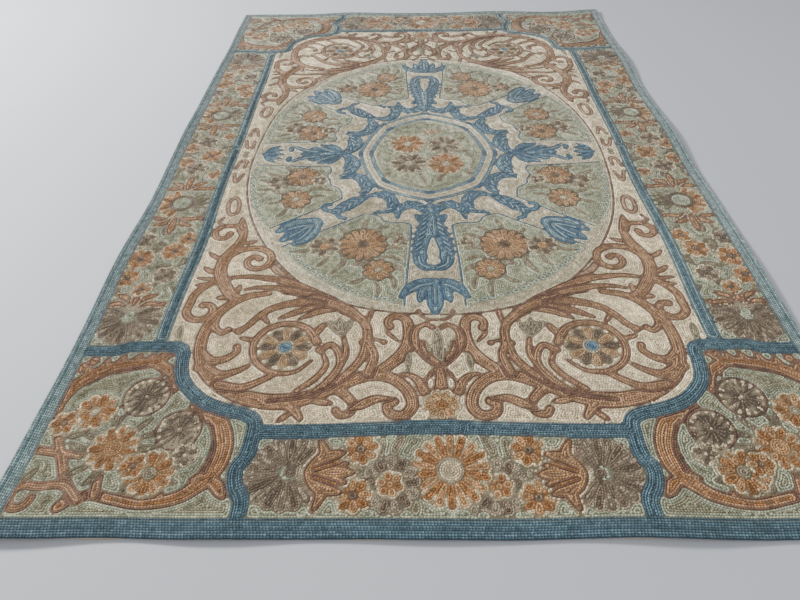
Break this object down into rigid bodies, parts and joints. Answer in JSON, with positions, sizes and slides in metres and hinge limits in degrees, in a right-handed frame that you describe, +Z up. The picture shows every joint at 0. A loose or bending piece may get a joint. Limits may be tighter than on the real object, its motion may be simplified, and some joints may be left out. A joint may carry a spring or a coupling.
{
  "type": "chain stitch rug",
  "caption": "Flat rectangular wool rug, worked all over in chain stitch on a canvas, with a cotton backing cloth and slightly cockled edges.",
  "frame": {"origin": "on the floor, under the middle of the rug", "axes": "+X to the rug's right, +Y along its length from the near end to the far end, +Z up out of the stitched face"},
  "size_m": [1.22, 1.83, 0.0127],
  "materials": {
    "wool_stitching": "matt wool chain stitch in blue, sage, cream, tan, rust and grey-brown",
    "cotton_backing": "matt plain-woven cotton"
  },
  "bodies": {
    "root": {"rug_face": "wool_stitching", "backing_cloth": "cotton_backing"}
  },
  "joints": []
}
